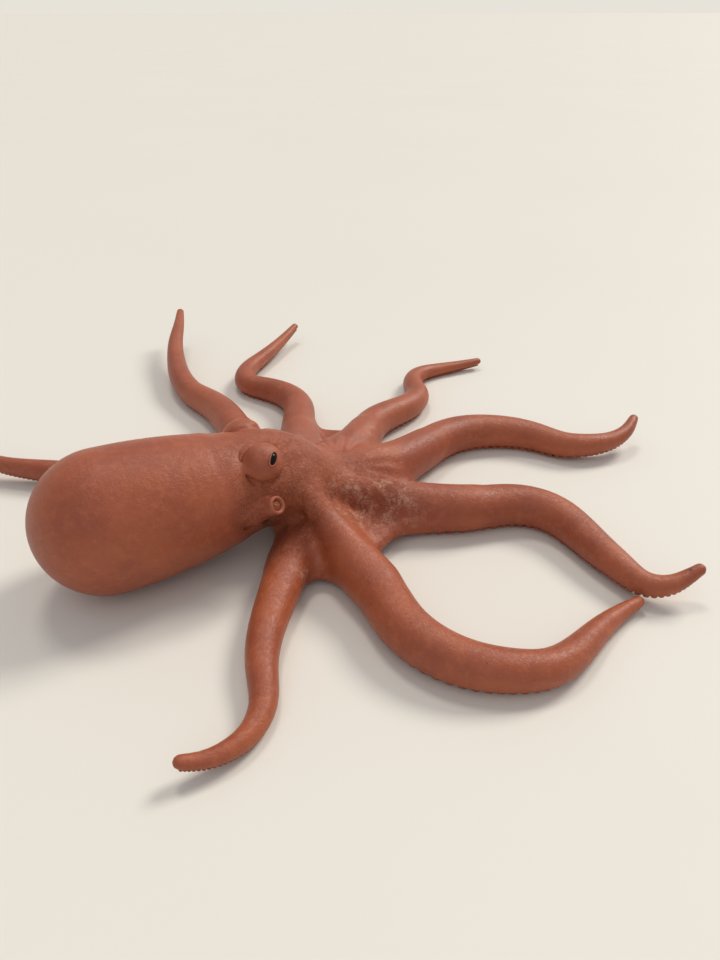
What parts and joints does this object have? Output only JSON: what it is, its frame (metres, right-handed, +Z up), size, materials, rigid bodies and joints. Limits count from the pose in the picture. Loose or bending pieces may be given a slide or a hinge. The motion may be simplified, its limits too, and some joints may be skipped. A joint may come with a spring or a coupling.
{
  "type": "toy octopus",
  "caption": "Soft moulded toy octopus lying flat, with a hollow stuffed mantle, domed eyes, a siphon tube and curved bending arms.",
  "frame": {"origin": "on the resting surface under the middle of the arm crown, at the mouth", "axes": "+X from the mantle towards the front arms, +Y to the toy's left, +Z up"},
  "size_m": [0.399, 0.4495, 0.0724],
  "materials": {
    "moulded_rubber": "semi-gloss moulded rubber, fine wrinkles",
    "mouth_rubber": "semi-gloss moulded rubber",
    "pupil_gloss": "glossy black",
    "fibre_fill": "loose fibre"
  },
  "bodies": {
    "body": {"mantle_shell": "moulded_rubber", "filling": "fibre_fill", "arm_crown": "moulded_rubber", "mouth_plug": "mouth_rubber", "right_eye": "moulded_rubber", "left_eye": "moulded_rubber", "right_pupil": "pupil_gloss", "left_pupil": "pupil_gloss", "siphon": "moulded_rubber", "right_arm_1_root_flex": "moulded_rubber", "right_arm_2_root_flex": "moulded_rubber", "right_arm_3_root_flex": "moulded_rubber", "right_arm_4_root_flex": "moulded_rubber", "left_arm_1_root_flex": "moulded_rubber", "left_arm_2_root_flex": "moulded_rubber", "left_arm_3_root_flex": "moulded_rubber", "left_arm_4_root_flex": "moulded_rubber"},
    "right_arm_1": {"right_arm_1_base": "moulded_rubber", "right_arm_1_middle_flex": "moulded_rubber"},
    "right_arm_1_end": {"right_arm_1_tip": "moulded_rubber"},
    "right_arm_2": {"right_arm_2_base": "moulded_rubber", "right_arm_2_middle_flex": "moulded_rubber"},
    "right_arm_2_end": {"right_arm_2_tip": "moulded_rubber"},
    "right_arm_3": {"right_arm_3_base": "moulded_rubber", "right_arm_3_middle_flex": "moulded_rubber"},
    "right_arm_3_end": {"right_arm_3_tip": "moulded_rubber"},
    "right_arm_4": {"right_arm_4_base": "moulded_rubber", "right_arm_4_middle_flex": "moulded_rubber"},
    "right_arm_4_end": {"right_arm_4_tip": "moulded_rubber"},
    "left_arm_1": {"left_arm_1_base": "moulded_rubber", "left_arm_1_middle_flex": "moulded_rubber"},
    "left_arm_1_end": {"left_arm_1_tip": "moulded_rubber"},
    "left_arm_2": {"left_arm_2_base": "moulded_rubber", "left_arm_2_middle_flex": "moulded_rubber"},
    "left_arm_2_end": {"left_arm_2_tip": "moulded_rubber"},
    "left_arm_3": {"left_arm_3_base": "moulded_rubber", "left_arm_3_middle_flex": "moulded_rubber"},
    "left_arm_3_end": {"left_arm_3_tip": "moulded_rubber"},
    "left_arm_4": {"left_arm_4_base": "moulded_rubber", "left_arm_4_middle_flex": "moulded_rubber"},
    "left_arm_4_end": {"left_arm_4_tip": "moulded_rubber"}
  },
  "joints": [
    {"name": "right_arm_1_lift", "type": "hinge", "parent": "body", "child": "right_arm_1", "pos_m": [0.08155, 0.02719, 0.01108], "axis": [0.3277, -0.9448, 0], "range_deg": [0, 30], "stiffness_Nm_per_rad": 0.3, "deforming": ["right_arm_1_root_flex"]},
    {"name": "right_arm_1_swing", "type": "hinge", "parent": "right_arm_1", "child": "right_arm_1_end", "pos_m": [0.14506, 0.01035, 0.00878], "axis": [0, 0, 1], "range_deg": [-25, 25], "stiffness_Nm_per_rad": 0.12, "deforming": ["right_arm_1_middle_flex"]},
    {"name": "right_arm_2_lift", "type": "hinge", "parent": "body", "child": "right_arm_2", "pos_m": [0.06758, -0.04361, 0.01108], "axis": [-0.2446, -0.9696, 0], "range_deg": [0, 30], "stiffness_Nm_per_rad": 0.3, "deforming": ["right_arm_2_root_flex"]},
    {"name": "right_arm_2_swing", "type": "hinge", "parent": "right_arm_2", "child": "right_arm_2_end", "pos_m": [0.10237, -0.09369, 0.0089], "axis": [0, 0, 1], "range_deg": [0, 30], "stiffness_Nm_per_rad": 0.12, "deforming": ["right_arm_2_middle_flex"]},
    {"name": "right_arm_3_lift", "type": "hinge", "parent": "body", "child": "right_arm_3", "pos_m": [-0.01407, -0.08014, 0.01109], "axis": [-0.9992, 0.0409, 0], "range_deg": [0, 30], "stiffness_Nm_per_rad": 0.3, "deforming": ["right_arm_3_root_flex"]},
    {"name": "right_arm_3_swing", "type": "hinge", "parent": "right_arm_3", "child": "right_arm_3_end", "pos_m": [0.01033, -0.14291, 0.00881], "axis": [0, 0, 1], "range_deg": [-30, 0], "stiffness_Nm_per_rad": 0.12, "deforming": ["right_arm_3_middle_flex"]},
    {"name": "right_arm_4_lift", "type": "hinge", "parent": "body", "child": "right_arm_4", "pos_m": [-0.0567, -0.05725, 0.00895], "axis": [-0.8026, 0.5965, 0], "range_deg": [0, 30], "stiffness_Nm_per_rad": 0.3, "deforming": ["right_arm_4_root_flex"]},
    {"name": "right_arm_4_swing", "type": "hinge", "parent": "right_arm_4", "child": "right_arm_4_end", "pos_m": [-0.08012, -0.09877, 0.00624], "axis": [0, 0, 1], "range_deg": [-25, 25], "stiffness_Nm_per_rad": 0.12, "deforming": ["right_arm_4_middle_flex"]},
    {"name": "left_arm_1_lift", "type": "hinge", "parent": "body", "child": "left_arm_1", "pos_m": [0.06521, 0.07167, 0.00974], "axis": [0.4732, -0.881, 0], "range_deg": [0, 30], "stiffness_Nm_per_rad": 0.3, "deforming": ["left_arm_1_root_flex"]},
    {"name": "left_arm_1_swing", "type": "hinge", "parent": "left_arm_1", "child": "left_arm_1_end", "pos_m": [0.11576, 0.10807, 0.007], "axis": [0, 0, 1], "range_deg": [-25, 25], "stiffness_Nm_per_rad": 0.12, "deforming": ["left_arm_1_middle_flex"]},
    {"name": "left_arm_2_lift", "type": "hinge", "parent": "body", "child": "left_arm_2", "pos_m": [0.02262, 0.10384, 0.00963], "axis": [0.9067, -0.4218, 0], "range_deg": [0, 30], "stiffness_Nm_per_rad": 0.3, "deforming": ["left_arm_2_root_flex"]},
    {"name": "left_arm_2_swing", "type": "hinge", "parent": "left_arm_2", "child": "left_arm_2_end", "pos_m": [0.00977, 0.16862, 0.00723], "axis": [0, 0, 1], "range_deg": [-25, 25], "stiffness_Nm_per_rad": 0.12, "deforming": ["left_arm_2_middle_flex"]},
    {"name": "left_arm_3_lift", "type": "hinge", "parent": "body", "child": "left_arm_3", "pos_m": [-0.0238, 0.09796, 0.01056], "axis": [0.9992, -0.041, 0], "range_deg": [0, 30], "stiffness_Nm_per_rad": 0.3, "deforming": ["left_arm_3_root_flex"]},
    {"name": "left_arm_3_swing", "type": "hinge", "parent": "left_arm_3", "child": "left_arm_3_end", "pos_m": [-0.0329, 0.17277, 0.00871], "axis": [0, 0, 1], "range_deg": [-25, 25], "stiffness_Nm_per_rad": 0.12, "deforming": ["left_arm_3_middle_flex"]},
    {"name": "left_arm_4_lift", "type": "hinge", "parent": "body", "child": "left_arm_4", "pos_m": [-0.0675, 0.05587, 0.01009], "axis": [0.6385, 0.7696, 0], "range_deg": [0, 30], "stiffness_Nm_per_rad": 0.3, "deforming": ["left_arm_4_root_flex"]},
    {"name": "left_arm_4_swing", "type": "hinge", "parent": "left_arm_4", "child": "left_arm_4_end", "pos_m": [-0.11414, 0.09029, 0.00808], "axis": [0, 0, 1], "range_deg": [-25, 25], "stiffness_Nm_per_rad": 0.12, "deforming": ["left_arm_4_middle_flex"]}
  ]
}
